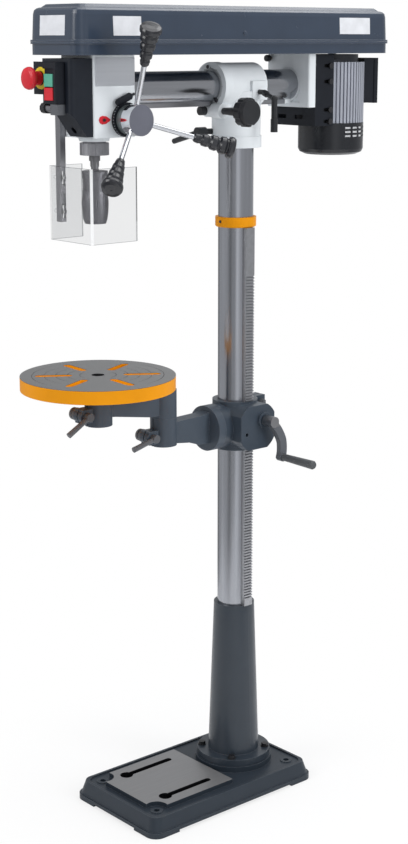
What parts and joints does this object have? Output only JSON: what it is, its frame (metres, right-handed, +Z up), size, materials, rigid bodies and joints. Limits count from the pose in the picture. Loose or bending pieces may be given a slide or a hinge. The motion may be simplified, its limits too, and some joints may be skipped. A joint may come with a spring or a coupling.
{
  "type": "radial arm drill press",
  "caption": "Floor-standing radial drill: column on a slotted base, swivelling and tilting ram with belt-driven spindle and chuck, clear guard, and a crank-lifted round slotted table.",
  "frame": {"origin": "centre of the four anchor holes of the base, on the floor", "axes": "+Z up the column; -Y towards the operator and the spindle, +Y towards the motor; +X the side of the feed handle, the rack and the lifting crank"},
  "size_m": [0.3548, 0.89, 1.666],
  "materials": {
    "cast_dark": "smooth paint on castings",
    "light_paint": "smooth light paint",
    "cover_paint": "glossy dark blue-grey paint",
    "orange_paint": "smooth orange paint",
    "steel": "ground steel",
    "dark_steel": "blackened steel",
    "chrome": "polished chrome",
    "aluminium": "cast and turned",
    "black_plastic": "fine grained",
    "black_gloss": "smooth",
    "green_plastic": "smooth",
    "red_plastic": "smooth",
    "clear_plastic": "clear sheet",
    "belt_rubber": "ribbed"
  },
  "bodies": {
    "base": {"base": "cast_dark", "column_support": "cast_dark", "support_bolts": "dark_steel", "column_tube": "steel", "rack_ring": "orange_paint"},
    "rack": {"column_rack": "steel"},
    "bracket": {"table_bracket": "cast_dark"},
    "crank": {"crank_shaft": "steel", "crank_arm": "dark_steel"},
    "crank_grip": {"crank_grip": "black_gloss"},
    "lift_gear": {"lift_gear": "steel"},
    "bracket_clamp": {"bracket_clamp": "dark_steel"},
    "tilt_arm": {"tilt_arm": "cast_dark"},
    "arm_clamp": {"arm_clamp": "dark_steel"},
    "swing_arm": {"swing_arm": "cast_dark"},
    "table_clamp": {"table_clamp": "dark_steel"},
    "table": {"table": "orange_paint"},
    "turret": {"turret": "light_paint"},
    "turret_clamp": {"turret_clamp": "dark_steel"},
    "ram_clamp": {"ram_clamp": "dark_steel"},
    "stop_knob": {"stop_knob": "black_gloss"},
    "traverse": {"traverse_shaft": "steel", "traverse_knob": "black_gloss"},
    "ram": {"ram_rack": "steel"},
    "arm": {"ram_tube": "steel", "head_casting": "light_paint", "front_cover": "black_plastic", "switch_body": "black_plastic", "estop_base": "black_plastic", "guard_pivot": "dark_steel", "spring_housing": "black_plastic", "motor_bracket": "light_paint", "motor_plate": "dark_steel", "drive_belt": "belt_rubber", "cover_tray": "cover_paint"},
    "start_button": {"start_button": "green_plastic"},
    "stop_button": {"stop_button": "red_plastic"},
    "estop_button": {"estop_button": "red_plastic"},
    "guard": {"guard_post": "steel"},
    "guard_knob": {"guard_knob": "black_gloss"},
    "guard_shield": {"guard_shield": "clear_plastic"},
    "quill": {"quill": "steel"},
    "spindle": {"spindle": "steel", "chuck_body": "dark_steel"},
    "chuck_sleeve": {"chuck_sleeve": "dark_steel"},
    "jaw_a": {"jaw_a": "steel"},
    "jaw_b": {"jaw_b": "steel"},
    "jaw_c": {"jaw_c": "steel"},
    "feed": {"feed_shaft": "steel", "feed_hub": "chrome", "feed_spokes": "chrome", "feed_grips": "black_gloss"},
    "depth_ring": {"depth_ring": "black_plastic"},
    "spindle_pulley": {"spindle_pulley": "aluminium"},
    "motor": {"motor_body": "aluminium", "fan_cover": "black_plastic", "terminal_box": "black_plastic"},
    "rotor": {"motor_rotor": "steel", "motor_pulley": "aluminium"},
    "lid": {"cover_lid": "cover_paint"}
  },
  "joints": [
    {"name": "rack_turn", "type": "hinge", "parent": "base", "child": "rack", "pos_m": [0, 0.111, 0.402], "axis": [0, 0, 1], "range_deg": [-180, 180]},
    {"name": "table_lift", "type": "slide", "parent": "rack", "child": "bracket", "axis": [0, 0, 1], "range_m": [-0.32, 0.26]},
    {"name": "lift_gear_turn", "type": "hinge", "parent": "bracket", "child": "lift_gear", "pos_m": [0.057, 0.111, 0.805], "axis": [0, 1, 0], "continuous": true},
    {"name": "crank_turn", "type": "hinge", "parent": "bracket", "child": "crank", "pos_m": [0.081, 0.126, 0.8245], "axis": [1, 0, 0], "continuous": true},
    {"name": "crank_grip_turn", "type": "hinge", "parent": "crank", "child": "crank_grip", "pos_m": [0.113, 0.14997, 0.74608], "axis": [1, 0, 0], "continuous": true},
    {"name": "bracket_clamp_turn", "type": "hinge", "parent": "bracket", "child": "bracket_clamp", "pos_m": [-0.026, 0.172, 0.846], "axis": [1, 0, 0], "range_deg": [-8, 95]},
    {"name": "table_tilt", "type": "hinge", "parent": "bracket", "child": "tilt_arm", "pos_m": [0, 0.045, 0.808], "axis": [0, 1, 0], "range_deg": [-45, 45]},
    {"name": "arm_clamp_turn", "type": "hinge", "parent": "tilt_arm", "child": "arm_clamp", "pos_m": [0.022, -0.124, 0.813], "axis": [1, 0, 0], "range_deg": [-50, 60]},
    {"name": "arm_swing", "type": "hinge", "parent": "tilt_arm", "child": "swing_arm", "pos_m": [0, -0.086, 0.85], "axis": [0, 0, 1], "range_deg": [-100, 100]},
    {"name": "table_clamp_turn", "type": "hinge", "parent": "swing_arm", "child": "table_clamp", "pos_m": [0.022, -0.29, 0.883], "axis": [1, 0, 0], "range_deg": [-40, 40]},
    {"name": "table_turn", "type": "hinge", "parent": "swing_arm", "child": "table", "pos_m": [0, -0.252, 0.925], "axis": [0, 0, 1], "continuous": true},
    {"name": "turret_turn", "type": "hinge", "parent": "base", "child": "turret", "pos_m": [0, 0.111, 1.388], "axis": [0, 0, 1], "range_deg": [-180, 180]},
    {"name": "turret_clamp_turn", "type": "hinge", "parent": "turret", "child": "turret_clamp", "pos_m": [-0.025, 0.037, 1.42], "axis": [0, -1, 0], "range_deg": [-45, 40]},
    {"name": "ram_clamp_turn", "type": "hinge", "parent": "turret", "child": "ram_clamp", "pos_m": [0.07, 0.128, 1.499], "axis": [1, 0, 0], "range_deg": [-25, 60]},
    {"name": "stop_knob_turn", "type": "hinge", "parent": "turret", "child": "stop_knob", "pos_m": [-0.002, 0.02, 1.463], "axis": [0, 1, 0], "range_deg": [-180, 180]},
    {"name": "ram_slide", "type": "slide", "parent": "turret", "child": "ram", "axis": [0, 1, 0], "range_m": [-0.095, 0.095]},
    {"name": "traverse_turn", "type": "hinge", "parent": "turret", "child": "traverse", "pos_m": [0.09, 0.043, 1.463], "axis": [1, 0, 0], "continuous": true},
    {"name": "head_tilt", "type": "hinge", "parent": "ram", "child": "arm", "pos_m": [0, 0.033, 1.511], "axis": [0, 1, 0], "range_deg": [-45, 45]},
    {"name": "start_press", "type": "slide", "parent": "arm", "child": "start_button", "axis": [0, 1, 0], "range_m": [0, 0.002], "stiffness_N_per_m": 800, "springref_m": -0.002},
    {"name": "stop_press", "type": "slide", "parent": "arm", "child": "stop_button", "axis": [0, 1, 0], "range_m": [0, 0.002], "stiffness_N_per_m": 800, "springref_m": -0.002},
    {"name": "estop_press", "type": "slide", "parent": "arm", "child": "estop_button", "axis": [0, 1, 0], "range_m": [0, 0.004], "stiffness_N_per_m": 800, "springref_m": -0.003},
    {"name": "guard_swing", "type": "hinge", "parent": "arm", "child": "guard", "pos_m": [-0.0005, -0.3505, 1.478], "axis": [1, 0, 0], "range_deg": [-90, 0]},
    {"name": "guard_knob_turn", "type": "hinge", "parent": "arm", "child": "guard_knob", "pos_m": [-0.018, -0.3505, 1.478], "axis": [1, 0, 0], "range_deg": [-180, 180]},
    {"name": "shield_slide", "type": "slide", "parent": "guard", "child": "guard_shield", "axis": [0, 0, 1], "range_m": [-0.01, 0.01]},
    {"name": "quill_feed", "type": "slide", "parent": "arm", "child": "quill", "axis": [0, 0, 1], "range_m": [-0.08, 0], "stiffness_N_per_m": 250, "springref_m": 0.3},
    {"name": "feed_turn", "type": "hinge", "parent": "arm", "child": "feed", "pos_m": [0.088, -0.217, 1.455], "axis": [1, 0, 0], "range_deg": [0, 354]},
    {"name": "depth_ring_turn", "type": "hinge", "parent": "feed", "child": "depth_ring", "pos_m": [0.055, -0.217, 1.455], "axis": [1, 0, 0], "range_deg": [-180, 180]},
    {"name": "spindle_turn", "type": "hinge", "parent": "quill", "child": "spindle", "pos_m": [0, -0.252, 1.388], "axis": [0, 0, 1], "continuous": true},
    {"name": "sleeve_turn", "type": "hinge", "parent": "spindle", "child": "chuck_sleeve", "pos_m": [0, -0.252, 1.29], "axis": [0, 0, 1], "range_deg": [0, 2160]},
    {"name": "jaw_a_slide", "type": "slide", "parent": "spindle", "child": "jaw_a", "axis": [0, 0.2756, 0.9613], "range_m": [-0.024, 0]},
    {"name": "jaw_b_slide", "type": "slide", "parent": "spindle", "child": "jaw_b", "axis": [-0.2387, -0.1378, 0.9613], "range_m": [-0.024, 0]},
    {"name": "jaw_c_slide", "type": "slide", "parent": "spindle", "child": "jaw_c", "axis": [0.2387, -0.1378, 0.9613], "range_m": [-0.024, 0]},
    {"name": "spindle_pulley_turn", "type": "hinge", "parent": "arm", "child": "spindle_pulley", "pos_m": [0, -0.252, 1.588], "axis": [0, 0, 1], "continuous": true},
    {"name": "belt_slack", "type": "slide", "parent": "arm", "child": "motor", "axis": [0, 1, 0], "range_m": [-0.007, 0]},
    {"name": "motor_turn", "type": "hinge", "parent": "motor", "child": "rotor", "pos_m": [0, 0.385, 1.5], "axis": [0, 0, 1], "continuous": true},
    {"name": "lid_open", "type": "hinge", "parent": "arm", "child": "lid", "pos_m": [-0.0885, 0.065, 1.598], "axis": [0, -1, 0], "range_deg": [0, 100]}
  ],
  "couplings": [
    {"joint": "lift_gear_turn", "follows": "table_lift", "rad_per_m": 96.618},
    {"joint": "crank_turn", "follows": "table_lift", "rad_per_m": 966.18},
    {"joint": "traverse_turn", "follows": "ram_slide", "rad_per_m": -112.36},
    {"joint": "feed_turn", "follows": "quill_feed", "rad_per_m": -76.923},
    {"joint": "spindle_turn", "follows": "motor_turn", "ratio": 1},
    {"joint": "spindle_pulley_turn", "follows": "motor_turn", "ratio": 1},
    {"joint": "jaw_a_slide", "follows": "sleeve_turn", "m_per_rad": -0.000636},
    {"joint": "jaw_b_slide", "follows": "sleeve_turn", "m_per_rad": -0.000636},
    {"joint": "jaw_c_slide", "follows": "sleeve_turn", "m_per_rad": -0.000636}
  ]
}
